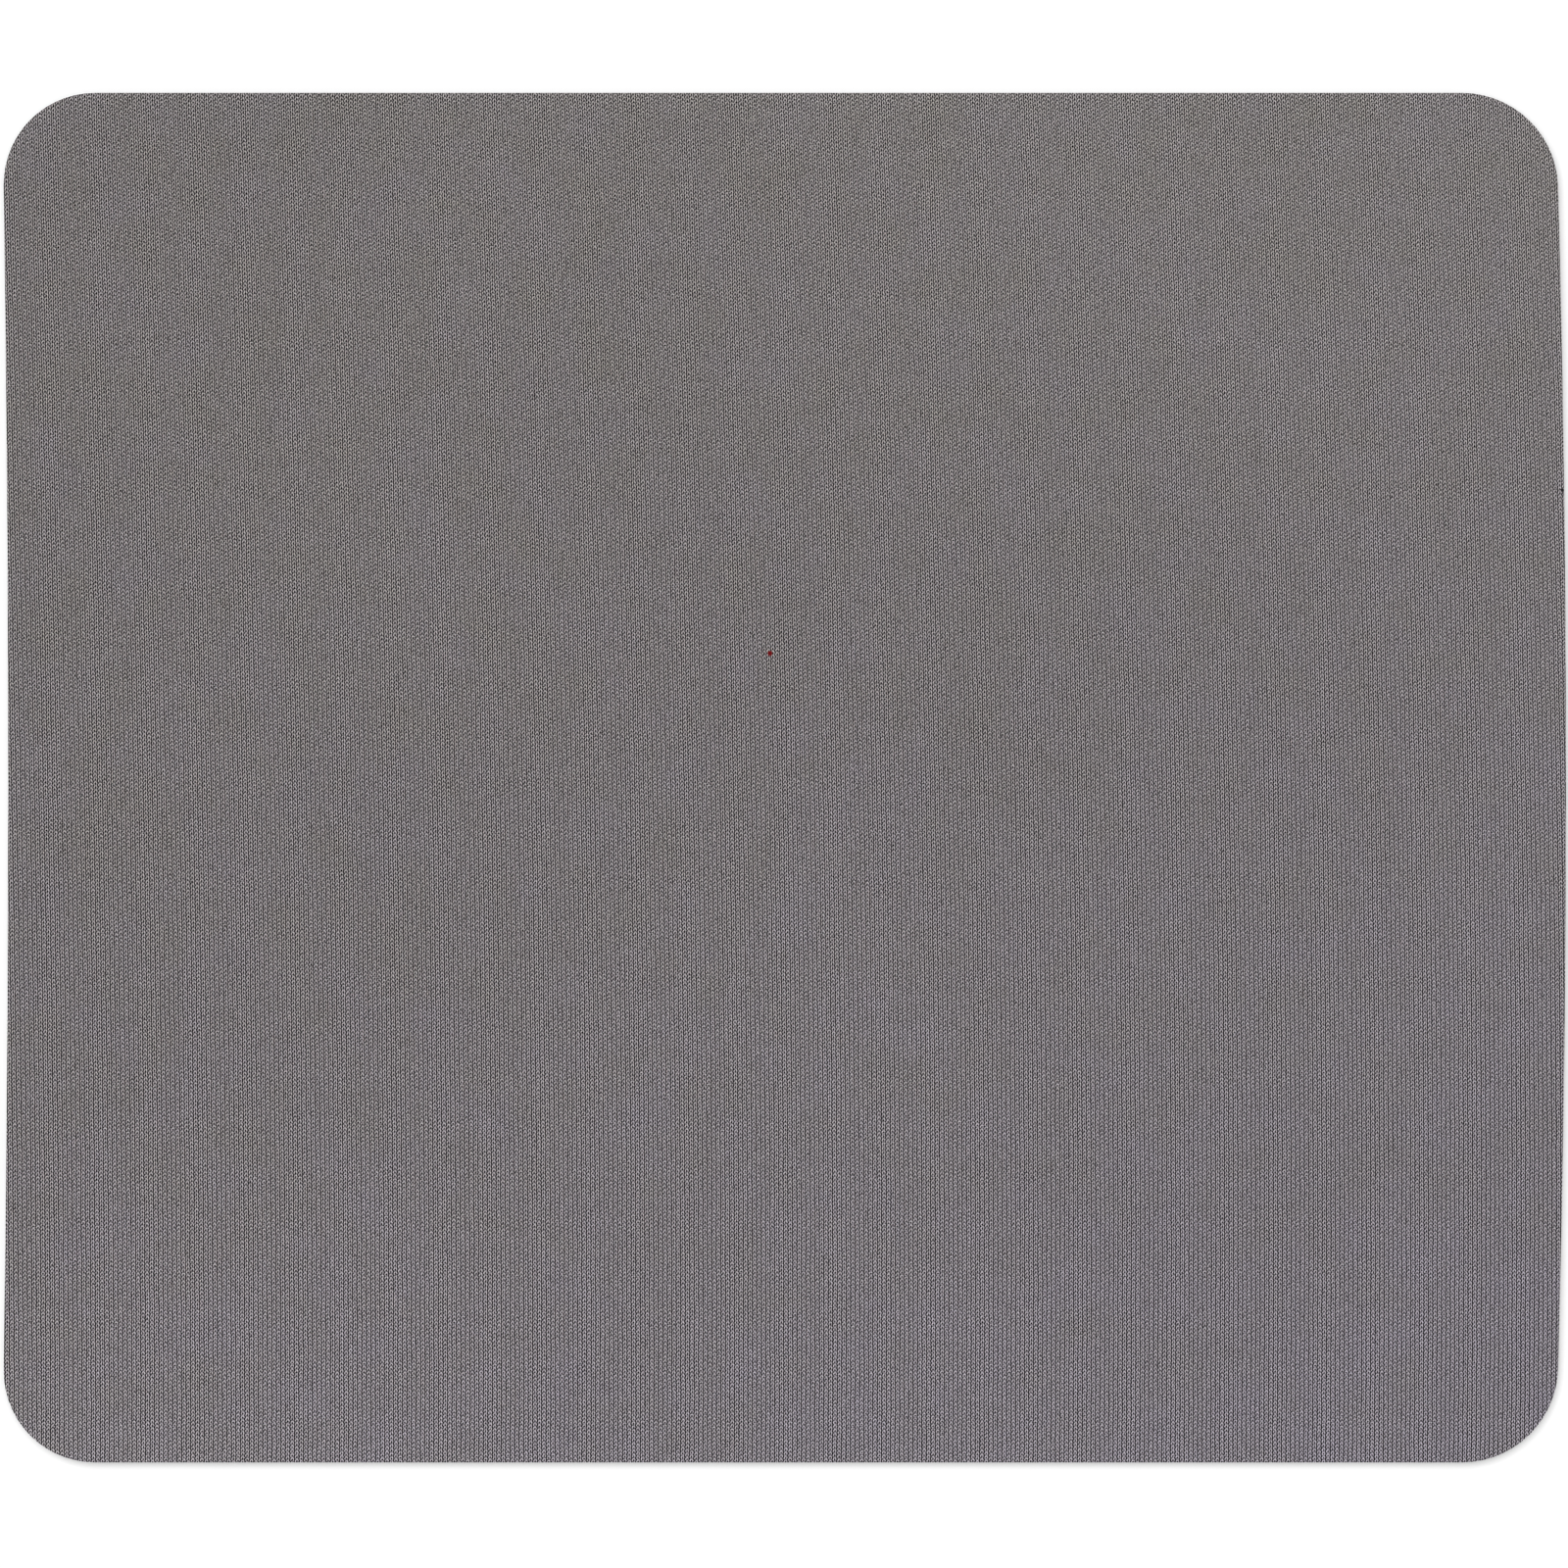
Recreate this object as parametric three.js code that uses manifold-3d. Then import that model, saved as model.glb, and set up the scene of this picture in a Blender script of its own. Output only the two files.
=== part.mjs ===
// Cloth mouse pad: a knit face, a bonding film and an embossed foam rubber base, die-cut in one stroke.
// Millimetres, +Z up. The origin lies on the desk under the middle of the pad, +X runs along the width
// and +Y towards the back edge.

import * as THREE from "three";
import { mergeVertices } from "three/addons/utils/BufferGeometryUtils.js";
import Module from "manifold-3d";

const wasm = await Module();
wasm.setup();

// Cut outline, which all three layers share
const PAD_WIDTH = 250;
const PAD_DEPTH = 220;
const CORNER_RADIUS = 15;
const CORNER_SEGMENTS = 14;

// Layers, from the desk up
const BASE_THICKNESS = 2.4;
const FILM_THICKNESS = 0.1;
const CLOTH_THICKNESS = 0.5;

// Rim: the cutting die drags the edge of the cloth down, and the foam springs back hollow behind the blade
const ROLL_WIDTH = 0.6;
const ROLL_DROP = 0.25;
const ROLL_STEPS = 4;
const HOLLOW_DEPTH = 0.2;
const HOLLOW_STEPS = 4;

// Anti-slip underside: zigzag grooves with sloping walls, pressed into the foam, that run out at both sides
const GROOVE_PITCH = 5;
const GROOVE_MOUTH = 2;
const GROOVE_FLOOR = 1.2;
const GROOVE_DEPTH = 0.4;
const ZIGZAG_LENGTH = 25;
const ZIGZAG_SWING = 3.6;
const EDGE_LAND = 2;

// Heights of the faces where the layers meet
const BASE_TOP = BASE_THICKNESS;
const FILM_TOP = BASE_TOP + FILM_THICKNESS;
const CLOTH_TOP = FILM_TOP + CLOTH_THICKNESS;

const knitMaterial = new THREE.MeshStandardMaterial({ color: 0x7a7678, roughness: 0.95, metalness: 0 });
const filmMaterial = new THREE.MeshStandardMaterial({ color: 0xb9b3a6, roughness: 0.5, metalness: 0 });
const foamMaterial = new THREE.MeshStandardMaterial({ color: 0x1d1d1f, roughness: 0.9, metalness: 0 });

// The pad's outline, moved in from the cut edge by an inset. Every inset gives the same number of points.
function outlinePoints(inset) {
  const right = PAD_WIDTH / 2 - CORNER_RADIUS;
  const back = PAD_DEPTH / 2 - CORNER_RADIUS;
  const radius = CORNER_RADIUS - inset;
  const quarter = Math.PI / 2;
  const outline = new THREE.Shape();
  outline.absarc(right, -back, radius, -quarter, 0);
  outline.absarc(right, back, radius, 0, quarter);
  outline.absarc(-right, back, radius, quarter, 2 * quarter);
  outline.absarc(-right, -back, radius, 2 * quarter, 3 * quarter);
  outline.closePath();
  return outline.extractPoints(CORNER_SEGMENTS).shape;
}

// A closed layer, lofted through the outline at a list of levels from the lowest up, each { z, inset }.
function loftedLayer(levels) {
  const rings = levels.map(({ inset }) => outlinePoints(inset));
  const count = rings[0].length;
  const positions = [];
  rings.forEach((ring, level) => {
    ring.forEach((point) => positions.push(point.x, point.y, levels[level].z));
  });

  const triangles = [];
  for (let level = 0; level + 1 < rings.length; level++) {
    for (let i = 0; i < count; i++) {
      const low = level * count + i;
      const lowNext = level * count + ((i + 1) % count);
      triangles.push(low, lowNext, lowNext + count, low, lowNext + count, low + count);
    }
  }
  const topStart = (rings.length - 1) * count;
  for (const [a, b, c] of THREE.ShapeUtils.triangulateShape(rings[0], [])) {
    triangles.push(a, c, b);
  }
  for (const [a, b, c] of THREE.ShapeUtils.triangulateShape(rings.at(-1), [])) {
    triangles.push(topStart + a, topStart + b, topStart + c);
  }

  const geometry = new THREE.BufferGeometry();
  geometry.setAttribute("position", new THREE.Float32BufferAttribute(positions, 3));
  geometry.setIndex(triangles);
  return geometry;
}

// A closed solid swept along X: at each station { x, y } it has the same section, a list of { y, z }
// points that run anticlockwise seen from +X.
function sweptSection(stations, section) {
  const count = section.length;
  const positions = stations.flatMap(({ x, y }) => section.flatMap((p) => [x, y + p.y, p.z]));

  const triangles = [];
  for (let s = 0; s + 1 < stations.length; s++) {
    for (let i = 0; i < count; i++) {
      const near = s * count + i;
      const nearNext = s * count + ((i + 1) % count);
      triangles.push(near, nearNext, nearNext + count, near, nearNext + count, near + count);
    }
  }
  const endStart = (stations.length - 1) * count;
  for (let i = 1; i + 1 < count; i++) {
    triangles.push(0, i + 1, i);
    triangles.push(endStart, endStart + i, endStart + i + 1);
  }

  const geometry = new THREE.BufferGeometry();
  geometry.setAttribute("position", new THREE.Float32BufferAttribute(positions, 3));
  geometry.setIndex(triangles);
  return geometry;
}

function solidFrom(geometry) {
  const merged = mergeVertices(geometry);
  return new wasm.Manifold(
    new wasm.Mesh({
      numProp: 3,
      vertProperties: merged.attributes.position.array,
      triVerts: new Uint32Array(merged.index.array),
    }),
  );
}

function geometryFrom(solid) {
  const mesh = solid.getMesh();
  const geometry = new THREE.BufferGeometry();
  geometry.setAttribute("position", new THREE.BufferAttribute(mesh.vertProperties, mesh.numProp));
  geometry.setIndex(new THREE.BufferAttribute(mesh.triVerts, 1));
  geometry.computeVertexNormals();
  return geometry;
}

function namedMesh(name, geometry, material) {
  const mesh = new THREE.Mesh(geometry, material);
  mesh.name = name;
  return mesh;
}

// Knit face: flat on the film, with its upper rim rolled over in a quarter of an ellipse.
function knitCloth() {
  const levels = [{ z: FILM_TOP, inset: 0 }];
  for (let step = 0; step <= ROLL_STEPS; step++) {
    const angle = (step / ROLL_STEPS) * (Math.PI / 2);
    levels.push({
      z: CLOTH_TOP - ROLL_DROP * (1 - Math.sin(angle)),
      inset: ROLL_WIDTH * (1 - Math.cos(angle)),
    });
  }
  return loftedLayer(levels);
}

function adhesiveFilm() {
  return loftedLayer([
    { z: BASE_TOP, inset: 0 },
    { z: FILM_TOP, inset: 0 },
  ]);
}

// Foam sheet before embossing: its cut edge is hollow, deepest at half its thickness.
function foamBlank() {
  const levels = [];
  for (let step = 0; step <= HOLLOW_STEPS; step++) {
    const height = step / HOLLOW_STEPS;
    levels.push({ z: height * BASE_TOP, inset: HOLLOW_DEPTH * 4 * height * (1 - height) });
  }
  return loftedLayer(levels);
}

// One groove cutter. Its walls keep their slope below the underside, so that the cut goes clean through it.
function grooveCutter(rowY) {
  const halfWave = ZIGZAG_LENGTH / 2;
  const reach = Math.ceil(PAD_WIDTH / 2 / halfWave) + 1;
  const stations = [];
  for (let k = -reach; k < reach; k++) {
    const side = k % 2 === 0 ? 1 : -1;
    stations.push({ x: (k + 0.5) * halfWave, y: rowY + (side * ZIGZAG_SWING) / 2 });
  }
  const halfFloor = GROOVE_FLOOR / 2;
  const halfBelow = GROOVE_MOUTH - halfFloor;
  return sweptSection(stations, [
    { y: -halfBelow, z: -GROOVE_DEPTH },
    { y: halfBelow, z: -GROOVE_DEPTH },
    { y: halfFloor, z: GROOVE_DEPTH },
    { y: -halfFloor, z: GROOVE_DEPTH },
  ]);
}

// Foam base: grooves mirrored about the middle, where a rib lies, out to the land along both long edges.
function foamBase() {
  const room = PAD_DEPTH / 2 - EDGE_LAND - (ZIGZAG_SWING + GROOVE_MOUTH) / 2;
  let base = solidFrom(foamBlank());
  for (let rowY = GROOVE_PITCH / 2; rowY <= room; rowY += GROOVE_PITCH) {
    base = base.subtract(solidFrom(grooveCutter(rowY)));
    base = base.subtract(solidFrom(grooveCutter(-rowY)));
  }
  return geometryFrom(base);
}

const mousePad = new THREE.Group();
mousePad.add(namedMesh("foam_base", foamBase(), foamMaterial));
mousePad.add(namedMesh("adhesive_film", adhesiveFilm(), filmMaterial));
mousePad.add(namedMesh("knit_cloth", knitCloth(), knitMaterial));

export default mousePad;
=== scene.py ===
"""Looks of a cloth mouse pad: knit face, bonding film and embossed foam base, die-cut in one stroke."""

import logging
import math
from collections.abc import Iterator
from contextlib import contextmanager
from dataclasses import dataclass
from enum import Enum
from typing import Any, Union

import bpy
import numpy as np
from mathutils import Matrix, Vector


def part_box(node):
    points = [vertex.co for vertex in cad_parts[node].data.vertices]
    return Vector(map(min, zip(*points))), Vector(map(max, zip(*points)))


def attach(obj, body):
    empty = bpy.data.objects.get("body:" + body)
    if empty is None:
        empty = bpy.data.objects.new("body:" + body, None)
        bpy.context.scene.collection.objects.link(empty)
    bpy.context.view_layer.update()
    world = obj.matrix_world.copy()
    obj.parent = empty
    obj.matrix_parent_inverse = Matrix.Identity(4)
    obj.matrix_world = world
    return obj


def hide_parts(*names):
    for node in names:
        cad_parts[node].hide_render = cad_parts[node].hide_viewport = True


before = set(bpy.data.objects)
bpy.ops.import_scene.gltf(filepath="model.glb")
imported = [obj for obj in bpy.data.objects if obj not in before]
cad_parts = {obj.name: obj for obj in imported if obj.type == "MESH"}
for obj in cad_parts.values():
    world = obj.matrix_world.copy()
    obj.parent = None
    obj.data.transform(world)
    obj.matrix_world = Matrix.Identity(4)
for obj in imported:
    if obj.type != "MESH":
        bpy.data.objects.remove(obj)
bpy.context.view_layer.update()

LOG = logging.getLogger("mouse_pad")

MM = 0.001
TURN = 2 * math.pi
BODY = "root"
LOOP_MAP = "loops"
CUT_FACES = "cut"
# Points this close to a cutting plane count as lying on it
CUT_TOLERANCE = 0.002 * MM
# A face counts as cut if its normal leans up or down by less than this
CUT_SLOPE = 0.5
# Edges that turn by less than this are shaded smooth
SMOOTH_ANGLE = math.radians(50)

Colour = tuple[float, float, float]
Operand = Union["Signal", float]


class Layer(Enum):
    """The pad's layers: the solid that each one stands for, and a short name for its finish."""

    KNIT = ("knit_cloth", "knit")
    FILM = ("adhesive_film", "film")
    FOAM = ("foam_base", "foam")

    def __init__(self, solid: str, slot: str) -> None:
        """Keeps a layer's two names."""
        self.solid = solid
        self.slot = slot

    def box(self) -> tuple[Vector, Vector]:
        """The solid's lowest and highest corners, in metres."""
        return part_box(self.solid)


class Blend(Enum):
    """How one colour is laid over another."""

    MIX = "MIX"
    MULTIPLY = "MULTIPLY"


@dataclass(frozen=True)
class Outline:
    """The cutting line: a rectangle with round corners, centred on the origin.

    Attributes:
        half_width: Half of the size along X, in metres.
        half_depth: Half of the size along Y, in metres.
        corner_radius: Radius of the four corners, in metres.
        corner_steps: Straight facets that each corner is cut with.
    """

    half_width: float
    half_depth: float
    corner_radius: float = 15 * MM
    corner_steps: int = 14

    @classmethod
    def of_layer(cls, layer: Layer) -> "Outline":
        """The outline that a layer's solid has."""
        low, high = layer.box()
        return cls((high.x - low.x) / 2, (high.y - low.y) / 2)

    def area(self) -> float:
        """The area inside the line, in square metres."""
        corners = (4 - math.pi) * self.corner_radius**2
        return 4 * self.half_width * self.half_depth - corners

    def cuts(self) -> list[tuple[Vector, Vector]]:
        """Works out the planes that trim a larger sheet to the outline.

        Returns:
            A point and an outward normal for each of the four sides and each facet of the corners.
        """
        planes = []
        step = TURN / 4 / self.corner_steps
        facet_reach = self.corner_radius * math.cos(step / 2)
        for quarter in range(4):
            start = quarter * TURN / 4
            side = Vector((round(math.cos(start)), round(math.sin(start)), 0))
            planes.append((Vector((side.x * self.half_width, side.y * self.half_depth, 0)), side))
            middle = start + TURN / 8
            centre = Vector((
                math.copysign(self.half_width - self.corner_radius, math.cos(middle)),
                math.copysign(self.half_depth - self.corner_radius, math.sin(middle)),
                0,
            ))
            for facet in range(self.corner_steps):
                angle = start + (facet + 0.5) * step
                normal = Vector((math.cos(angle), math.sin(angle), 0))
                planes.append((centre + normal * facet_reach, normal))
        return planes

    def margin(self, points: np.ndarray) -> np.ndarray:
        """Measures how far inside the cutting line points lie.

        Args:
            points: Rows of coordinates, of which X and Y are used.

        Returns:
            One distance in metres for each point, negative outside the line.
        """
        halves = np.array([self.half_width, self.half_depth])
        past = np.abs(points[:, :2]) - (halves - self.corner_radius)
        outer = np.linalg.norm(np.maximum(past, 0), axis=1)
        inner = np.minimum(past.max(axis=1), 0)
        return self.corner_radius - outer - inner


@dataclass(frozen=True)
class Lay:
    """How the soft pad lies on the desk: its sides bow a little to the right between the corners.

    Attributes:
        outline: The cutting line before the pad was laid down.
        bow: How far the middle of the pad lies to the right of its ends, in metres.
        bow_growth: Share by which the right side bows more than the middle, and the left side less.
    """

    outline: Outline
    bow: float = 1.35 * MM
    bow_growth: float = 0.26

    def settle(self, points: np.ndarray) -> np.ndarray:
        """Moves points of the flat cut to where they lie on the desk.

        Args:
            points: Rows of three coordinates.

        Returns:
            The points, moved along X. The pad's average place along X stays.
        """
        across = points[:, 0] / self.outline.half_width
        along = points[:, 1] / self.outline.half_depth
        moved = points.copy()
        moved[:, 0] += self.bow * (1 + self.bow_growth * across) * (1 / 3 - along**2)
        return moved


@dataclass(frozen=True)
class Ring:
    """A level of a cut edge: its height, and how far it lies inside the level before it, in metres."""

    height: float
    inset: float = 0.0


@contextmanager
def editing(piece: bpy.types.Object) -> Iterator[None]:
    """Keeps one piece in edit mode, with vertices selectable, while the body of a with statement runs.

    Args:
        piece: The piece, which is also the only one selected.
    """
    bpy.ops.object.select_all(action="DESELECT")
    piece.select_set(True)
    bpy.context.view_layer.objects.active = piece
    bpy.ops.object.mode_set(mode="EDIT")
    bpy.ops.mesh.select_mode(type="VERT")
    yield
    bpy.ops.object.mode_set(mode="OBJECT")


class StockSheet:
    """A flat sheet on the cutting table, and the operations that make a layer of the pad from it."""

    def __init__(self, name: str, columns: int, rows: int) -> None:
        """Lays out a sheet.

        Args:
            name: Name of the piece that the sheet becomes.
            columns: Cells along X.
            rows: Cells along Y.
        """
        bpy.ops.object.select_all(action="DESELECT")
        bpy.ops.mesh.primitive_grid_add(x_subdivisions=columns, y_subdivisions=rows, size=1)
        self.piece = bpy.context.active_object
        self.piece.name = name
        self.piece.data.name = name
        while self.piece.data.uv_layers:
            self.piece.data.uv_layers.remove(self.piece.data.uv_layers[0])
        shares = self.points()[:, :2] + 0.5
        self.column = np.rint(shares[:, 0] * columns).astype(int)
        self.row = np.rint(shares[:, 1] * rows).astype(int)

    def points(self) -> np.ndarray:
        """Reads the mesh's vertices.

        Returns:
            A row of three coordinates for each vertex.
        """
        flat = np.empty(len(self.piece.data.vertices) * 3, np.float32)
        self.piece.data.vertices.foreach_get("co", flat)
        return flat.reshape(-1, 3).astype(float)

    def move(self, points: np.ndarray) -> None:
        """Puts the mesh's vertices at new places."""
        self.piece.data.vertices.foreach_set("co", points.astype(np.float32).ravel())
        self.piece.data.update()

    def map_points(self, name: str, places: np.ndarray) -> None:
        """Adds a UV map.

        Args:
            name: The map's name.
            places: A row of two coordinates for each vertex.
        """
        corners = np.empty(len(self.piece.data.loops), np.int32)
        self.piece.data.loops.foreach_get("vertex_index", corners)
        layer = self.piece.data.uv_layers.new(name=name, do_init=False)
        layer.uv.foreach_set("vector", places[corners].astype(np.float32).ravel())

    def die_cut(self, outline: Outline) -> None:
        """Trims the sheet.

        Args:
            outline: The cutting line.
        """
        with editing(self.piece):
            for point, normal in outline.cuts():
                bpy.ops.mesh.select_all(action="SELECT")
                bpy.ops.mesh.bisect(
                    plane_co=point, plane_no=normal, clear_outer=True, threshold=CUT_TOLERANCE
                )

    def close(self, outline: Outline, rings: list[Ring]) -> None:
        """Draws the cut edge out through rings, and closes the far side with one flat face.

        Args:
            outline: The cutting line that the first ring is measured from.
            rings: Levels of the cut edge, starting next to the sheet.
        """
        width, depth = outline.half_width, outline.half_depth
        with editing(self.piece):
            bpy.ops.mesh.select_mode(type="EDGE")
            bpy.ops.mesh.select_all(action="DESELECT")
            bpy.ops.mesh.select_non_manifold(
                extend=False, use_wire=False, use_multi_face=False, use_non_contiguous=False, use_verts=False
            )
            for ring in rings:
                bpy.ops.mesh.extrude_region_move()
                bpy.ops.transform.resize(
                    value=((width - ring.inset) / width, (depth - ring.inset) / depth, 0),
                    center_override=(0, 0, ring.height),
                )
                width -= ring.inset
                depth -= ring.inset
            bpy.ops.mesh.edge_face_add()
            bpy.ops.mesh.select_all(action="SELECT")
            bpy.ops.mesh.normals_make_consistent(inside=False)
        bpy.ops.object.shade_smooth_by_angle(angle=SMOOTH_ANGLE)

    def mark_cut_faces(self) -> None:
        """Adds a face attribute that is 1 on upright faces, where the die went through, and 0 elsewhere."""
        faces = self.piece.data.polygons
        normals = np.empty(len(faces) * 3, np.float32)
        faces.foreach_get("normal", normals)
        upright = np.abs(normals.reshape(-1, 3)[:, 2]) < CUT_SLOPE
        marks = self.piece.data.attributes.new(CUT_FACES, "FLOAT", "FACE")
        marks.data.foreach_set("value", upright.astype(np.float32))


def feed(tree: bpy.types.NodeTree, socket: bpy.types.NodeSocket, value: Any) -> None:
    """Links a signal to a socket, or sets a plain value on it.

    Args:
        tree: The tree that the socket is in.
        socket: An input of one of its nodes.
        value: The signal or the value.
    """
    if isinstance(value, Signal):
        tree.links.new(value.socket, socket)
    else:
        socket.default_value = value


class Signal:
    """A node's output that Python's operators work on. Each operation adds its Math nodes."""

    def __init__(self, tree: bpy.types.NodeTree, socket: bpy.types.NodeSocket) -> None:
        """Wraps an output socket of a tree."""
        self.tree = tree
        self.socket = socket

    def math(self, operation: str, *operands: Operand) -> "Signal":
        """Adds a Math node.

        Args:
            operation: What the node works out.
            operands: Its inputs in order.

        Returns:
            The node's result.
        """
        node = self.tree.nodes.new("ShaderNodeMath")
        node.operation = operation
        for socket, operand in zip(node.inputs, operands):
            feed(self.tree, socket, operand)
        return Signal(self.tree, node.outputs[0])

    def sibling(self, output: str) -> "Signal":
        """Another output of the same node."""
        return Signal(self.tree, self.socket.node.outputs[output])

    def __add__(self, other: Operand) -> "Signal":
        """This plus other."""
        return self.math("ADD", self, other)

    def __radd__(self, other: Operand) -> "Signal":
        """Other plus this."""
        return self.math("ADD", other, self)

    def __sub__(self, other: Operand) -> "Signal":
        """This less other."""
        return self.math("SUBTRACT", self, other)

    def __rsub__(self, other: Operand) -> "Signal":
        """Other less this."""
        return self.math("SUBTRACT", other, self)

    def __mul__(self, other: Operand) -> "Signal":
        """This times other."""
        return self.math("MULTIPLY", self, other)

    def __rmul__(self, other: Operand) -> "Signal":
        """Other times this."""
        return self.math("MULTIPLY", other, self)

    def __truediv__(self, other: Operand) -> "Signal":
        """This over other."""
        return self.math("DIVIDE", self, other)

    def __abs__(self) -> "Signal":
        """This without its sign."""
        return self.math("ABSOLUTE", self)

    def __floor__(self) -> "Signal":
        """The whole number below this."""
        return self.math("FLOOR", self)

    def squared(self) -> "Signal":
        """This times itself."""
        return self.math("MULTIPLY", self, self)

    def wave(self, crest: float) -> "Signal":
        """A cosine of this, counted in turns, that is 1 at crest."""
        return self.math("COSINE", (self - crest) * TURN)

    def exp(self) -> "Signal":
        """The exponential of this."""
        return self.math("EXPONENT", self)

    def at_most(self, other: Operand) -> "Signal":
        """The lesser of this and other."""
        return self.math("MINIMUM", self, other)

    def at_least(self, other: Operand) -> "Signal":
        """The greater of this and other."""
        return self.math("MAXIMUM", self, other)


class Bench:
    """A node tree, and the one way in which nodes other than Math are added to it."""

    def __init__(self, tree: bpy.types.NodeTree) -> None:
        """Starts from an empty tree."""
        tree.nodes.clear()
        self.tree = tree

    @classmethod
    def for_material(cls, name: str) -> "tuple[Bench, bpy.types.Material]":
        """Makes a material.

        Args:
            name: The material's name.

        Returns:
            The bench for its tree, and the material.
        """
        material = bpy.data.materials.new(name)
        material.use_nodes = True
        return cls(material.node_tree), material

    def add(self, kind: str, settings: dict[str, Any], inputs: dict[str, Any]) -> bpy.types.Node:
        """Adds a node.

        Args:
            kind: The node's type.
            settings: Properties of the node, set first.
            inputs: Values or signals by the name or identifier of their socket.

        Returns:
            The node.
        """
        node = self.tree.nodes.new(kind)
        for name, value in settings.items():
            setattr(node, name, value)
        for name, value in inputs.items():
            feed(self.tree, self._socket(node.inputs, name), value)
        return node

    def node(
        self,
        kind: str,
        settings: dict[str, Any] | None = None,
        inputs: dict[str, Any] | None = None,
        output: str | None = None,
    ) -> Signal:
        """Adds a node that another one reads.

        Args:
            kind: The node's type.
            settings: Properties of the node.
            inputs: Values or signals by the name or identifier of their socket.
            output: Name or identifier of the output that is wanted, the first if none is given.

        Returns:
            That output.
        """
        outputs = self.add(kind, settings or {}, inputs or {}).outputs
        return Signal(self.tree, self._socket(outputs, output) if output else outputs[0])

    @staticmethod
    def _socket(sockets: Any, name: str) -> bpy.types.NodeSocket:
        """Finds a socket.

        Args:
            sockets: A node's inputs or outputs.
            name: Its identifier or its name.

        Returns:
            The socket with that identifier, or else the first usable one with that name.
        """
        for socket in sockets:
            if socket.identifier == name:
                return socket
        return next(socket for socket in sockets if socket.enabled and socket.name == name)

    def finish(self, kind: str, shader: Signal) -> None:
        """Adds the tree's output node, of the kind given, and links a shader to it."""
        self.add(kind, {}, {"Surface": shader})

    def step(self, value: Signal, low: Operand, high: Operand) -> Signal:
        """A smooth step of a value from 0 at low to 1 at high."""
        return self.node(
            "ShaderNodeMapRange",
            {"interpolation_type": "SMOOTHSTEP"},
            {"Value": value, "From Min": low, "From Max": high},
        )

    def noise(self, place: Signal, scale: float, detail: float, flat: bool = False) -> Signal:
        """A noise texture about 0.5, with its colour as a sibling output."""
        return self.node(
            "ShaderNodeTexNoise",
            {"noise_dimensions": "2D" if flat else "3D"},
            {"Vector": place, "Scale": scale, "Detail": detail},
            "Fac",
        )

    def parts(self, colour: Signal) -> tuple[Signal, Signal, Signal]:
        """The red, green and blue of a colour."""
        red = self.node("ShaderNodeSeparateColor", {}, {"Color": colour}, "Red")
        return red, red.sibling("Green"), red.sibling("Blue")

    def mix(self, factor: Operand, first: Any, second: Any, blend: Blend = Blend.MIX) -> Signal:
        """Mixes two colours.

        Args:
            factor: Share of the second.
            first: A colour or a colour signal.
            second: A colour or a colour signal.
            blend: How the second is laid over the first.

        Returns:
            The mixed colour.
        """
        return self.node(
            "ShaderNodeMix",
            {"data_type": "RGBA", "blend_type": blend.value},
            {"Factor_Float": factor, "A_Color": opaque(first), "B_Color": opaque(second)},
            "Result_Color",
        )

    def blend(self, factor: Signal, first: Operand, second: Operand) -> Signal:
        """A value that goes from first to second as a factor goes from 0 to 1."""
        return self.node(
            "ShaderNodeMix",
            {"data_type": "FLOAT"},
            {"Factor_Float": factor, "A_Float": first, "B_Float": second},
            "Result_Float",
        )

    def object_place(self) -> Signal:
        """Coordinates in the piece's own frame, in metres."""
        return self.node("ShaderNodeTexCoord", output="Object")

    def cut_faces(self) -> Signal:
        """A mask that is 1 where the die went through."""
        return self.node("ShaderNodeAttribute", {"attribute_name": CUT_FACES}, output="Fac")


def opaque(colour: Any) -> Any:
    """A plain colour with its alpha, and a colour signal as it is."""
    return colour if isinstance(colour, Signal) else (*colour, 1.0)


@dataclass(frozen=True)
class Speck:
    """A stray fibre caught in the knit.

    Attributes:
        x: Its place along X, in metres.
        y: Its place along Y, in metres.
        radius: Its size, in metres.
        colour: Its colour.
        core: Share of the radius inside which it covers the knit.
        rim: Share of the radius outside which it leaves the knit bare.
        rag: Share of the radius by which its rim is ragged.
        rag_scale: Scale of that raggedness, per metre.
    """

    x: float
    y: float
    radius: float
    colour: Colour
    core: float = 0.7
    rim: float = 1.2
    rag: float = 0.8
    rag_scale: float = 3000.0

    def mask(self, bench: Bench) -> Signal:
        """Builds where the speck covers the knit.

        Args:
            bench: The bench of the material's tree.

        Returns:
            A mask from 0 to 1.
        """
        place = bench.object_place()
        flat = bench.node(
            "ShaderNodeVectorMath", {"operation": "MULTIPLY"}, {"Vector": place, "Vector_001": (1, 1, 0)}
        )
        spread = bench.node(
            "ShaderNodeVectorMath",
            {"operation": "DISTANCE"},
            {"Vector": flat, "Vector_001": (self.x, self.y, 0)},
            "Value",
        )
        unevenness = bench.noise(place, self.rag_scale, detail=1.0) - 0.5
        ragged = spread + unevenness * (self.rag * self.radius)
        return 1 - bench.step(ragged, self.core * self.radius, self.rim * self.radius)


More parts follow.
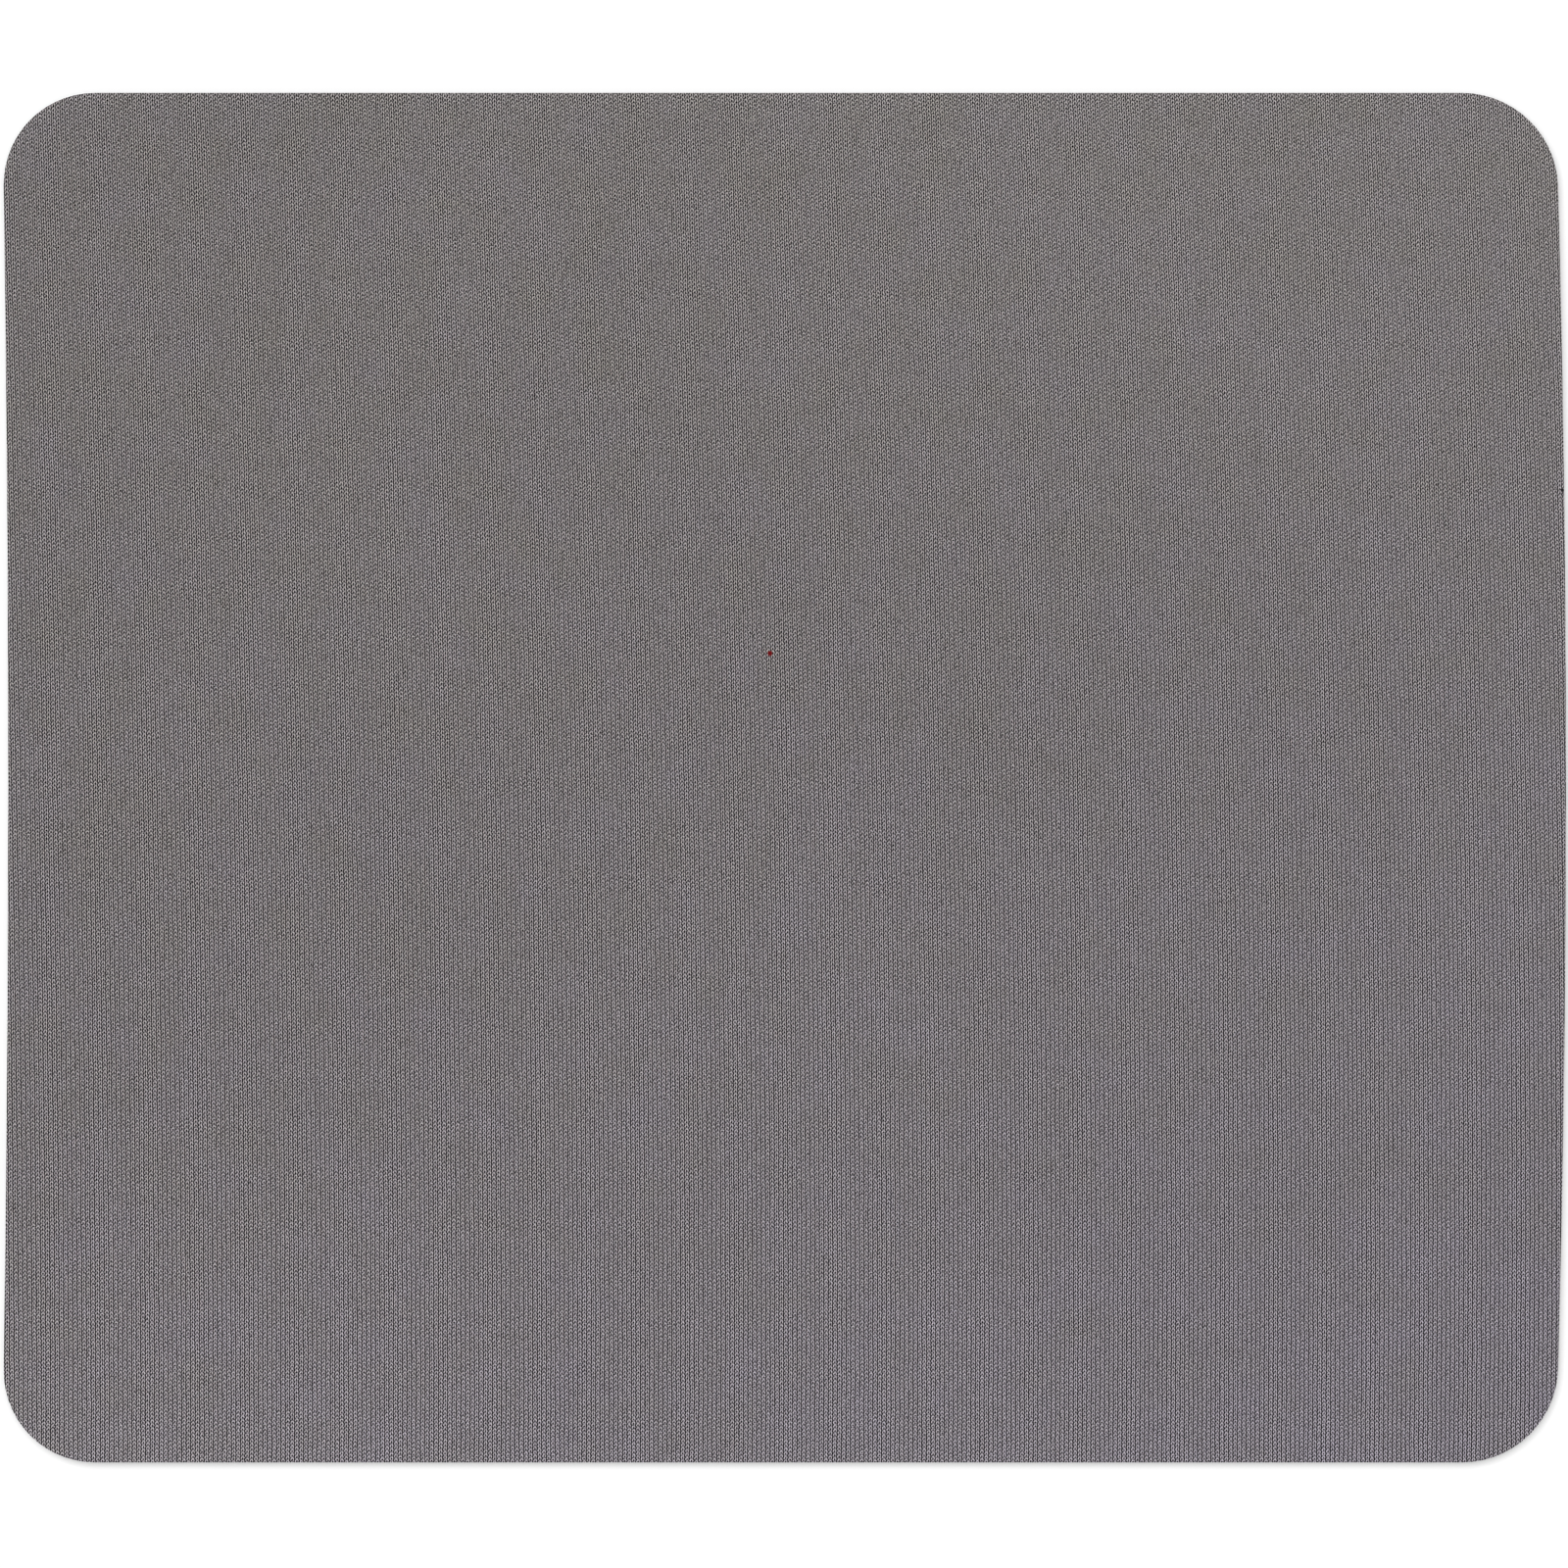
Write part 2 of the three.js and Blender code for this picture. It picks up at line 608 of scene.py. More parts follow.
@dataclass(frozen=True)
class LoopSpot:
    """A soft spot that every loop of the knit has, lighter or darker than the rest: a painted highlight on
    the legs, painted shade in the eye.

    Attributes:
        across: Its place across the column, in wales from the middle.
        level: Its place along the loop, in courses.
        half_width: Its half width across, in wales.
        focus: How tightly it keeps to its level.
        slant: How far it moves to the right for each course along the loop, in wales.
        strength: How much it adds to the height of the yarn.
        chance: Share by which the strength changes from loop to loop.
    """

    across: float
    level: float
    half_width: float
    focus: float
    slant: float
    strength: float
    chance: float

    def height(self, across: Signal, along: Signal, luck: Signal) -> Signal:
        """Builds the spot's share of the yarn's height.

        Args:
            across: Place across the column, 0 in its middle.
            along: Place along the loop, from 0 to 1.
            luck: A value from 0 to 1 that each loop has of its own.

        Returns:
            The height, largest in the middle of the spot and falling off around it.
        """
        # A cosine that crests a quarter of a loop later is a sine, which leans both ways from the level.
        lean = along.wave(self.level + 0.25) * (self.slant / TURN)
        sideways = ((across - self.across - lean) / self.half_width).squared()
        lengthways = (1 - along.wave(self.level)) * self.focus
        strength = self.strength * (1 + self.chance * (luck * 2 - 1))
        return (0 - sideways - lengthways).exp() * strength


@dataclass(frozen=True)
class ColumnGap:
    """The gap between two columns of loops, painted dark as shade.

    Attributes:
        body: Half width of the column beside it, in wales.
        swell: How far that half width changes along the loop, in wales.
        crest: Where along the loop the column is widest, in courses.
        skew: How far the widest place moves along for each wale across.
        softness: Half width of the gap's soft edge, in wales.
        depth: How much the gap takes off the height of the yarn.
        rise: Share by which it is deeper for each metre along Y.
        pinch: Share by which it is deeper at one level of the loop.
        pinch_level: That level, in courses.
        pinch_skew: How far the level moves along for each wale across.
        chance: Share by which the depth changes from loop to loop.
    """

    body: float = 0.325
    swell: float = 0.085
    crest: float = 0.56
    skew: float = 0.07
    softness: float = 0.085
    depth: float = 0.59
    rise: float = -1.9
    pinch: float = 0.35
    pinch_level: float = 0.2
    pinch_skew: float = 0.15
    chance: float = 0.16

    def height(self, bench: Bench, across: Signal, along: Signal, luck: Signal, y: Signal) -> Signal:
        """Builds what the gap takes off the yarn's height.

        Args:
            bench: The bench of the material's tree.
            across: Place across the column, 0 in its middle.
            along: Place along the loop, from 0 to 1.
            luck: A value from 0 to 1 that each loop has of its own.
            y: Place on the pad along Y, in metres.

        Returns:
            The height, 0 on the column and largest in the gaps beside it.
        """
        body = self.body + self.swell * (along - across * self.skew).wave(self.crest)
        share = bench.step(abs(across), body - self.softness, body + self.softness)
        pinch = (along - across * self.pinch_skew).wave(self.pinch_level)
        depth = self.depth * (1 + self.pinch * pinch + self.chance * (2 * luck - 1))
        return share * (depth * (1 + self.rise * y))


@dataclass(frozen=True)
class Drift:
    """A slow change over the pad, with the place in metres from its middle.

    Attributes:
        middle: The value in the middle.
        x: Slope along X.
        y: Slope along Y.
        xx: Curve along X.
        xy: Twist between opposite corners.
        yy: Curve along Y.
        patches: Share of small patches of noise.
        clouds: Share of large clouds of noise.
    """

    middle: float
    x: float
    y: float
    xx: float
    xy: float
    yy: float
    patches: float
    clouds: float

    def value(self, x: Signal, y: Signal, patches: Signal, clouds: Signal) -> Signal:
        """The value at a place, with the noise that lies there."""
        slope = self.middle + self.x * x + self.y * y + self.xx * x * x + self.xy * x * y + self.yy * y * y
        return slope + self.patches * patches + self.clouds * clouds


@dataclass(frozen=True)
class KnitFinish:
    """Grey polyester knit: columns of arched loops, with eyes in them and gaps between them, painted dark as
    shade.

    Lengths across are in wales, the columns of loops, and lengths along are in courses, the rows of loops.
    The height of the yarn runs from 0 deep in the knit to 1 on top of a loop, and it also sets the colour:
    painted shade deep in the knit, painted highlight on top.

    Attributes:
        brick: Courses by which a column is set against the one on its left.
        stray_across: How far loops stray across.
        stray_along: How far loops stray along.
        stray_scale: Scale of the noise that they stray by, per wale.
        crown: Height of a plain stretch of yarn.
        eye: The eye of a loop, painted dark as shade.
        eye_rise: Shares by which eyes are deeper for each metre along X and Y.
        left_leg_highlight: The left leg of a loop, painted light as a highlight.
        right_leg_highlight: The right leg of a loop, painted light as a highlight.
        gap: The gaps between the columns, painted dark as shade.
        fibre_size: Size of the fibres in the yarn.
        fibre_height: How far the fibres change the height, and with it the colour: partly the fibres' own
            texture, partly painted glints.
        end_size: Size of the yarn ends where the die cut the knit, in metres.
        end_height: Average height of the yarn ends.
        end_spread: How far the height of the yarn ends varies.
        relief: Depth of the knit for the bump, in metres.
        bump: Strength of the bump.
        shade: Colour deep in the knit, painted shade where the eyes and gaps fall.
        yarn: Colour on top of a loop, the yarn's own grey lifted into a painted highlight.
        warm: Tint where the hue is 0.
        violet: Tint where the hue is 1.
        hue: How the tint changes over the pad.
        tone: How the brightness changes over the pad.
        patch_scale: Scale of small patches of hue and tone, per metre.
        cloud_scale: Scale of large clouds of tone, per metre.
        roughness: Roughness deep in the knit.
        polish: How much smoother the knit is on top of a loop.
        specular: Level of the gloss.
        sheen: Weight of the fuzz's sheen.
        sheen_roughness: Roughness of that sheen.
        specks: Stray fibres caught in the knit.
    """

    brick: float = 0.5
    stray_across: float = 0.24
    stray_along: float = 0.36
    stray_scale: float = 0.15
    crown: float = 0.46
    eye: LoopSpot = LoopSpot(0.0, 0.49, 0.18, 1.2, 0.0, -1.45, 0.19)
    eye_rise: tuple[float, float] = (-1.25, 2.2)
    left_leg_highlight: LoopSpot = LoopSpot(-0.265, 0.62, 0.1, 0.5, 0.4, 0.68, 0.25)
    right_leg_highlight: LoopSpot = LoopSpot(0.22, 0.62, 0.085, 0.3, -0.36, 0.68, 0.25)
    gap: ColumnGap = ColumnGap()
    fibre_size: float = 0.3
    fibre_height: float = 0.88
    end_size: float = 0.13 * MM
    end_height: float = 0.36
    end_spread: float = 1.3
    relief: float = 0.16 * MM
    bump: float = 0.6
    shade: Colour = (0.0042, 0.004, 0.0041)
    yarn: Colour = (0.723, 0.676, 0.682)
    warm: Colour = (0.995, 1.0, 0.93)
    violet: Colour = (1.015, 1.0, 1.15)
    hue: Drift = Drift(0.42, x=0.66, y=-2.1, xx=2.2, xy=-6.0, yy=5.5, patches=0.7, clouds=0.0)
    tone: Drift = Drift(0.985, x=-0.28, y=-0.1, xx=0.0, xy=3.8, yy=3.4, patches=0.08, clouds=0.1)
    patch_scale: float = 150.0
    cloud_scale: float = 12.0
    roughness: float = 0.96
    polish: float = 0.14
    specular: float = 0.08
    sheen: float = 0.04
    sheen_roughness: float = 0.6
    specks: tuple[Speck, ...] = (
        Speck(-2.31 * MM, 19.98 * MM, 0.42 * MM, (0.17, 0.003, 0.005)),
        Speck(124.92 * MM, 46.2 * MM, 0.27 * MM, (0.006, 0.006, 0.007)),
    )

    def material(self) -> bpy.types.Material:
        """Makes the knit's material.

        Returns:
            The material, which reads its loops from the piece's own map.
        """
        bench, material = Bench.for_material("grey_knit")
        height = bench.blend(bench.cut_faces(), self._loop_height(bench), self._end_height(bench))
        # The height sets the colour as well as the bump: painted shade deep in the eyes and gaps, painted
        # highlight on the legs.
        colour = self._drifting(bench, bench.mix(height, self.shade, self.yarn))
        for speck in self.specks:
            colour = bench.mix(speck.mask(bench), colour, speck.colour)
        bump = {"Strength": self.bump, "Distance": self.relief, "Height": height}
        shader = bench.node("ShaderNodeBsdfPrincipled", {}, {
            "Base Color": colour,
            "Roughness": self.roughness - self.polish * height,
            "Specular IOR Level": self.specular,
            "Sheen Weight": self.sheen,
            "Sheen Roughness": self.sheen_roughness,
            "Normal": bench.node("ShaderNodeBump", {}, bump),
        })
        bench.finish("ShaderNodeOutputMaterial", shader)
        return material

    def _loop_height(self, bench: Bench) -> Signal:
        """Builds the height of the yarn on the face.

        Args:
            bench: The bench of the material's tree.

        Returns:
            The height, from 0 to 1.
        """
        place = bench.node("ShaderNodeUVMap", {"uv_map": LOOP_MAP})
        stray = bench.noise(place, self.stray_scale, detail=1.0, flat=True).sibling("Color")
        stray_across, stray_along, _ = bench.parts(stray)
        wale = bench.node("ShaderNodeSeparateXYZ", {}, {"Vector": place}, "X")
        course = wale.sibling("Y") + (stray_along - 0.5) * self.stray_along
        wale = wale + (stray_across - 0.5) * self.stray_across

        column = math.floor(wale)
        across = wale - column - 0.5
        rise = course - column * self.brick
        row = math.floor(rise)
        along = rise - row

        loop = bench.node("ShaderNodeCombineXYZ", {}, {"X": column, "Y": row})
        chance = bench.node("ShaderNodeTexWhiteNoise", {"noise_dimensions": "2D"}, {"Vector": loop}, "Color")
        eye_luck, leg_luck, gap_luck = bench.parts(chance)

        x, y = self._pad_place(bench)
        eye_share = 1 + self.eye_rise[0] * x + self.eye_rise[1] * y
        fibre = bench.noise(place, 1 / self.fibre_size, detail=0.0, flat=True) - 0.5

        # The gaps take height off, and with it paint shade into the colour; the fibre noise is partly
        # texture, partly painted glints.
        height = self.crown - self.gap.height(bench, across, along, gap_luck, y) + fibre * self.fibre_height
        # The eye takes height off, and with it paints shade into the colour.
        height = height + self.eye.height(across, along, eye_luck) * eye_share
        # The legs add height, and with it a painted highlight in the colour.
        height = height + self.left_leg_highlight.height(across, along, leg_luck)
        height = height + self.right_leg_highlight.height(across, along, 1 - leg_luck)
        return height.at_least(0.0).at_most(1.0)

    def _end_height(self, bench: Bench) -> Signal:
        """The height of the yarn ends where the die cut the knit, from 0 to 1."""
        ends = bench.noise(bench.object_place(), 1 / self.end_size, detail=2.0) - 0.5
        return (self.end_height + ends * self.end_spread).at_least(0.0).at_most(1.0)

    @staticmethod
    def _pad_place(bench: Bench) -> tuple[Signal, Signal]:
        """The place on the pad along X and Y, in metres from its middle."""
        x = bench.node("ShaderNodeSeparateXYZ", {}, {"Vector": bench.object_place()}, "X")
        return x, x.sibling("Y")

    def _drifting(self, bench: Bench, colour: Signal) -> Signal:
        """Lays the slow changes of hue and tone over a colour.

        Args:
            bench: The bench of the material's tree.
            colour: The colour of the loops.

        Returns:
            The colour with its changes.
        """
        place = bench.object_place()
        x, y = self._pad_place(bench)
        patches = bench.noise(place, self.patch_scale, detail=2.0) - 0.5
        clouds = bench.noise(place, self.cloud_scale, detail=1.0) - 0.5
        tint = bench.mix(self.hue.value(x, y, patches, clouds), self.warm, self.violet)
        tone = self.tone.value(x, y, patches, clouds)
        grey = bench.node("ShaderNodeCombineColor", {}, {"Red": tone, "Green": tone, "Blue": tone})
        tinted = bench.mix(1.0, colour, tint, Blend.MULTIPLY)
        return bench.mix(1.0, tinted, grey, Blend.MULTIPLY)


@dataclass(frozen=True)
class FilmFinish:
    """Milky hot-melt film, a little uneven where the die pressed it.

    Attributes:
        milk: Colour of the clean film.
        smear: Colour where it is smeared.
        smear_scale: Scale of the smears, per metre.
        smear_band: Levels of the noise between which a smear sets in.
        roughness: Roughness of the clean film.
        smear_roughness: How much rougher a smear is.
    """

    milk: Colour = (0.46, 0.43, 0.37)
    smear: Colour = (0.24, 0.225, 0.2)
    smear_scale: float = 420.0
    smear_band: tuple[float, float] = (0.4, 0.7)
    roughness: float = 0.4
    smear_roughness: float = 0.25

    def material(self) -> bpy.types.Material:
        """Makes the film's material.

        Returns:
            The material.
        """
        bench, material = Bench.for_material("milky_film")
        unevenness = bench.noise(bench.object_place(), self.smear_scale, detail=3.0)
        smear = bench.step(unevenness, *self.smear_band)
        shader = bench.node("ShaderNodeBsdfPrincipled", {}, {
            "Base Color": bench.mix(smear, self.milk, self.smear),
            "Roughness": self.roughness + self.smear_roughness * smear,
        })
        bench.finish("ShaderNodeOutputMaterial", shader)
        return material


@dataclass(frozen=True)
class FoamFinish:
    """Near-black foam rubber: open cells where the die cut it, and a fine matt skin underneath.

    Attributes:
        cell_size: Size of a cell, in metres.
        cell_wall: Colour of the walls of cut cells.
        cell_hollow_shade: Colour inside cut cells, painted shade in the open pores.
        hollow_core: Share of the cell size within which the luckiest cell is all hollow.
        hollow_rim: Share of the cell size past which the unluckiest cell is all wall.
        hollow_growth: How much larger that share is for the luckiest cell.
        skin: Colour of the skin.
        bloom: Colour of the pale bloom on the skin.
        bloom_scale: Scale of the bloom, per metre.
        bloom_band: Levels of the noise between which the bloom sets in.
        bloom_share: How much of the bloom shows.
        grain_scale: Scale of the skin's grain, per metre.
        grain_share: How much the grain changes the bloom.
        relief: Depth of the cells and the grain for the bump, in metres.
        bump: Strength of the bump.
        cut_roughness: Roughness of the cut.
        skin_polish: How much smoother the skin is.
        grain_roughness: How much the grain changes the roughness.
        specular: Level of the gloss.
    """

    cell_size: float = 0.2 * MM
    cell_wall: Colour = (0.032, 0.032, 0.034)
    cell_hollow_shade: Colour = (0.009, 0.009, 0.0095)
    hollow_core: float = 0.45
    hollow_rim: float = 0.25
    hollow_growth: float = 0.5
    skin: Colour = (0.017, 0.017, 0.018)
    bloom: Colour = (0.038, 0.038, 0.039)
    bloom_scale: float = 55.0
    bloom_band: tuple[float, float] = (0.45, 0.75)
    bloom_share: float = 0.6
    grain_scale: float = 3500.0
    grain_share: float = 0.3
    relief: float = 0.06 * MM
    bump: float = 0.7
    cut_roughness: float = 0.92
    skin_polish: float = 0.2
    grain_roughness: float = 0.12
    specular: float = 0.4

    def material(self) -> bpy.types.Material:
        """Makes the foam's material.

        Returns:
            The material, which tells the cut from the skin by the piece's own attribute.
        """
        bench, material = Bench.for_material("black_foam_rubber")
        place = bench.object_place()
        skinned = 1 - bench.cut_faces()

        cells = bench.node(
            "ShaderNodeTexVoronoi",
            {"feature": "F1"},
            {"Vector": place, "Scale": 1 / self.cell_size, "Randomness": 1.0},
            "Distance",
        )
        luck, _, _ = bench.parts(cells.sibling("Color"))
        hollow = 1 - bench.step(cells, luck * self.hollow_core, self.hollow_rim + luck * self.hollow_growth)
        grain = bench.noise(place, self.grain_scale, detail=3.0)
        bloom = bench.step(bench.noise(place, self.bloom_scale, detail=4.0), *self.bloom_band)

        # Painted shade: the open pores of the cut are darker than their walls.
        cut = bench.mix(hollow, self.cell_wall, self.cell_hollow_shade)
        bloom = bloom * self.bloom_share + self.grain_share * (grain - 0.5)
        skin = bench.mix(bloom, self.skin, self.bloom)
        height = bench.blend(skinned, 1 - hollow, grain)
        bump = {"Strength": self.bump, "Distance": self.relief, "Height": height}
        roughness = self.cut_roughness - self.skin_polish * skinned + self.grain_roughness * (grain - 0.5)
        shader = bench.node("ShaderNodeBsdfPrincipled", {}, {
            "Base Color": bench.mix(skinned, cut, skin),
            "Roughness": roughness,
            "Specular IOR Level": self.specular,
            "Normal": bench.node("ShaderNodeBump", {}, bump),
        })
        bench.finish("ShaderNodeOutputMaterial", shader)
        return material


@dataclass
class PadLayer:
    """A layer of the pad: how it is cut and laid down.

    Attributes:
        outline: The cutting line that all layers share.
        lay: How the cut pad lies on the desk.
        overlap: Stock beyond the cutting line, in metres.
    """

    outline: Outline
    lay: Lay
    overlap: float = 1.5 * MM

    def put_in_place(self, sheet: StockSheet, layer: Layer, material: bpy.types.Material) -> None:
        """Lays a finished layer on the desk, dresses it and ties it to the frame.

        Args:
            sheet: The layer, cut and closed.
            layer: What it stands for.
            material: The layer's material.
        """
        sheet.move(self.lay.settle(sheet.points()))
        piece = sheet.piece
        piece.data.materials.clear()
        piece.data.materials.append(material)
        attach(piece, BODY)
        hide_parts(layer.solid)


@dataclass
class KnitCloth(PadLayer):
    """The knit face: ribbed by its columns of loops, with its rim rolled down by the die.

    Lengths are in metres.

    Attributes:
        wale_pitch: Width of a column of loops in the middle of the pad.
        wale_taper: Half of the share by which each column is narrower than the one on its left.
        wale_lean: How far the columns lean to the right for each length towards the front.
        course_pitch: Height of a row of loops.
        course_skew: Rows that the knit climbs for each column to the right.
        rib_height: Height of a column over the gaps beside it.
        rib_sharpness: Power that the cosine of the ribs is raised to, which narrows the gaps.
        rib_facets: Cells across a column.
        roll_width: Width of the rolled rim.
        roll_drop: How far the rim is rolled down.
        field_step: Largest length of a cell in the field, well inside the cutting line.
        rim_step: Distance from the cutting line to the last row inside it.
        rim_rows: Rows from the end of the field to the cutting line.
    """

    wale_pitch: float = 0.7186 * MM
    wale_taper: float = 0.00004
    wale_lean: float = 0.02
    course_pitch: float = 0.6518 * MM
    course_skew: float = 0.1035
    rib_height: float = 0.12 * MM
    rib_sharpness: float = 1.5
    rib_facets: int = 4
    roll_width: float = 0.6 * MM
    roll_drop: float = 0.25 * MM
    field_step: float = 8 * MM
    rim_step: float = 0.15 * MM
    rim_rows: int = 14

    def build(self) -> bpy.types.Object:
        """Makes the knit face.

        Returns:
            The finished piece.
        """
        low, high = Layer.KNIT.box()
        rows = self._row_places()
        half_columns = self._half_columns()
        sheet = StockSheet("knit_face", 2 * half_columns, len(rows) - 1)

        wale = (sheet.column - half_columns) / self.rib_facets
        y = rows[sheet.row]
        x = self.wale_pitch * wale * (1 - self.wale_taper * wale) - self.wale_lean * y
        groove = (0.5 + 0.5 * np.cos(TURN * wale)) ** self.rib_sharpness
        sheet.move(np.column_stack([x, y, high.z - self.rib_height * groove]))
        sheet.map_points(LOOP_MAP, np.column_stack([wale, y / self.course_pitch - self.course_skew * wale]))

        sheet.die_cut(self.outline)
        sheet.move(self._rolled(sheet.points(), high.z))
        sheet.close(self.outline, [Ring(low.z)])
        sheet.mark_cut_faces()
        self.put_in_place(sheet, Layer.KNIT, KnitFinish().material())
        self.outline.area()
        return sheet.piece

    def _half_columns(self) -> int:
        """Counts the cells from the middle of the stock to its left or right edge.

        Returns:
            The cells, in whole columns of loops.
        """
        reach = self.outline.half_width + self.wale_lean * self.outline.half_depth + self.overlap
        wales = math.ceil(reach / self.wale_pitch * (1 + self.wale_taper * reach / self.wale_pitch)) + 1
        return wales * self.rib_facets

    def _row_places(self) -> np.ndarray:
        """Places the stock's rows along Y.

        Returns:
            Places that are even in the field, and ever closer towards the rim.
        """
        edge = self.outline.half_depth
        rim = edge - np.geomspace(self.outline.corner_radius, self.rim_step, self.rim_rows)
        field_rows = np.linspace(0, rim[0], math.ceil(rim[0] / self.field_step) + 1)
        half = np.concatenate([field_rows, rim[1:], [edge + self.overlap]])
        return np.concatenate([-half[:0:-1], half])

    def _rolled(self, points: np.ndarray, top: float) -> np.ndarray:
        """Presses the ribs flat at the rim and rolls it down in a quarter of an ellipse.

        Args:
            points: Points of the ribbed face.
            top: Height of the ribs.

        Returns:
            The points with their new heights.
        """
        share = np.clip(self.outline.margin(points) / self.roll_width, 0, 1)
        groove = (top - points[:, 2]) * share
        drop = self.roll_drop * (1 - np.sqrt(1 - (1 - share) ** 2))
        rolled = points.copy()
        rolled[:, 2] = top - groove - drop
        return rolled


@dataclass
class BondingFilm(PadLayer):
    """The film between the cloth and the foam, pressed out a little along the cut.

    Attributes:
        bead: How far the film stands out of the cut, in metres.
        cells: Cells of the stock along each side.
    """

    bead: float = 0.03 * MM
    cells: int = 6

    def build(self) -> bpy.types.Object:
        """Makes the film.

        Returns:
            The finished piece.
        """
        low, high = Layer.FILM.box()
        sheet = StockSheet("bonding_film", self.cells, self.cells)
        reach = np.array([self.outline.half_width, self.outline.half_depth]) + self.overlap
        shares = np.column_stack([sheet.column, sheet.row]) / self.cells * 2 - 1
        sheet.move(np.column_stack([shares * reach, np.full(len(shares), high.z)]))
        sheet.die_cut(self.outline)
        sheet.close(self.outline, [Ring((low.z + high.z) / 2, -self.bead), Ring(low.z, self.bead)])
        self.put_in_place(sheet, Layer.FILM, FilmFinish().material())
        return sheet.piece


@dataclass
class FoamBase(PadLayer):
    """The foam base: zigzag grooves pressed into its underside, and a cut edge that sprang back hollow.

    Lengths are in metres.

    Attributes:
        groove_pitch: Distance between grooves.
        groove_mouth: Width of a groove at the underside.
        groove_floor: Width of a groove at its floor.
        groove_depth: Depth of a groove.
        groove_round: Rounding of a groove's lips and floor corners.
        groove_facets: Cells down each wall of a groove.
        zigzag_length: Length of one whole zigzag.
        zigzag_swing: How far a groove swings from side to side.
        zigzag_sharpness: Shape of the bends, from a sine at 0 to a sharp corner at 1.
        bend_reach: Length of a bend on each side of its tip.
        edge_land: Plain strip along the front and back edges.
        hollow_depth: How far the cut edge lies in at half of its height.
        hollow_steps: Levels of the cut edge.
    """

    groove_pitch: float = 5 * MM
    groove_mouth: float = 2 * MM
    groove_floor: float = 1.2 * MM
    groove_depth: float = 0.4 * MM
    groove_round: float = 0.15 * MM
    groove_facets: int = 5
    zigzag_length: float = 25 * MM
    zigzag_swing: float = 3.6 * MM
    zigzag_sharpness: float = 0.985
    bend_reach: float = 1.6 * MM
    edge_land: float = 2 * MM
    hollow_depth: float = 0.2 * MM
    hollow_steps: int = 4

    def build(self) -> bpy.types.Object:
        """Makes the foam base.

        Returns:
            The finished piece.
        """
        low, high = Layer.FOAM.box()
        columns = self._column_places()
        rows, depths = self._row_places()
        sheet = StockSheet("embossed_foam", len(columns) - 1, len(rows) - 1)
        x = columns[sheet.column]
        in_field = np.abs(rows) < self.outline.half_depth
        y = rows[sheet.row] + self._zigzag(x) * in_field[sheet.row]
        sheet.move(np.column_stack([x, y, low.z + depths[sheet.row]]))
        sheet.die_cut(self.outline)
        sheet.close(self.outline, self._edge_rings(low.z, high.z))
        sheet.mark_cut_faces()
        self.put_in_place(sheet, Layer.FOAM, FoamFinish().material())
        return sheet.piece

    def _zigzag(self, x: np.ndarray) -> np.ndarray:
        """How far a groove lies to the side of its middle line at places along X."""
        swing = np.arcsin(self.zigzag_sharpness * np.sin(TURN * x / self.zigzag_length))
        return swing / math.asin(self.zigzag_sharpness) * self.zigzag_swing / 2

    def _column_places(self) -> np.ndarray:
        """Places the stock's columns along X.

        Returns:
            Places on each bend, on both sides of it and halfway to the next.
        """
        half_wave = self.zigzag_length / 2
        bends = math.ceil((self.outline.half_width + self.overlap) / half_wave)
        tips = (np.arange(-bends, bends) + 0.5) * half_wave
        offsets = np.array([-self.bend_reach, 0, self.bend_reach, half_wave / 2])
        return (tips[:, None] + offsets).ravel()

    def _row_places(self) -> tuple[np.ndarray, np.ndarray]:
        """Places the stock's rows along Y and in depth.

        Returns:
            The rows' middle places, and a depth in the foam for each.
        """
        room = self.outline.half_depth - self.edge_land - (self.zigzag_swing + self.groove_mouth) / 2
        middles = np.arange(self.groove_pitch / 2, room, self.groove_pitch)
        middles = np.concatenate([-middles[::-1], middles])
        share = np.linspace(0, 1, self.groove_facets + 1)
        lip = self.groove_mouth / 2 + self.groove_round
        floor = self.groove_floor / 2 - self.groove_round
        side = lip + (floor - lip) * share
        wall = self.groove_depth * share**2 * (3 - 2 * share)
        rows = (middles[:, None] + np.concatenate([-side, side[::-1]])).ravel()
        depths = np.tile(np.concatenate([wall, wall[::-1]]), len(middles))
        edge = self.outline.half_depth + self.overlap
        return np.concatenate([[-edge], rows, [edge]]), np.concatenate([[0], depths, [0]])

    def _edge_rings(self, low: float, high: float) -> list[Ring]:
        """Works out the levels of the cut edge over the grooves.

        Args:
            low: Height of the underside.
            high: Height of the upper face.

        Returns:
            The levels from the lowest up.
        """
        rings = []
        before = 0.0
        start = self.groove_depth + self.groove_round
        for step in range(self.hollow_steps):
            height = start + (high - low - start) * step / (self.hollow_steps - 1)
            share = height / (high - low)
            inset = self.hollow_depth * 4 * share * (1 - share)
            rings.append(Ring(low + height, inset - before))
            before = inset
        return rings


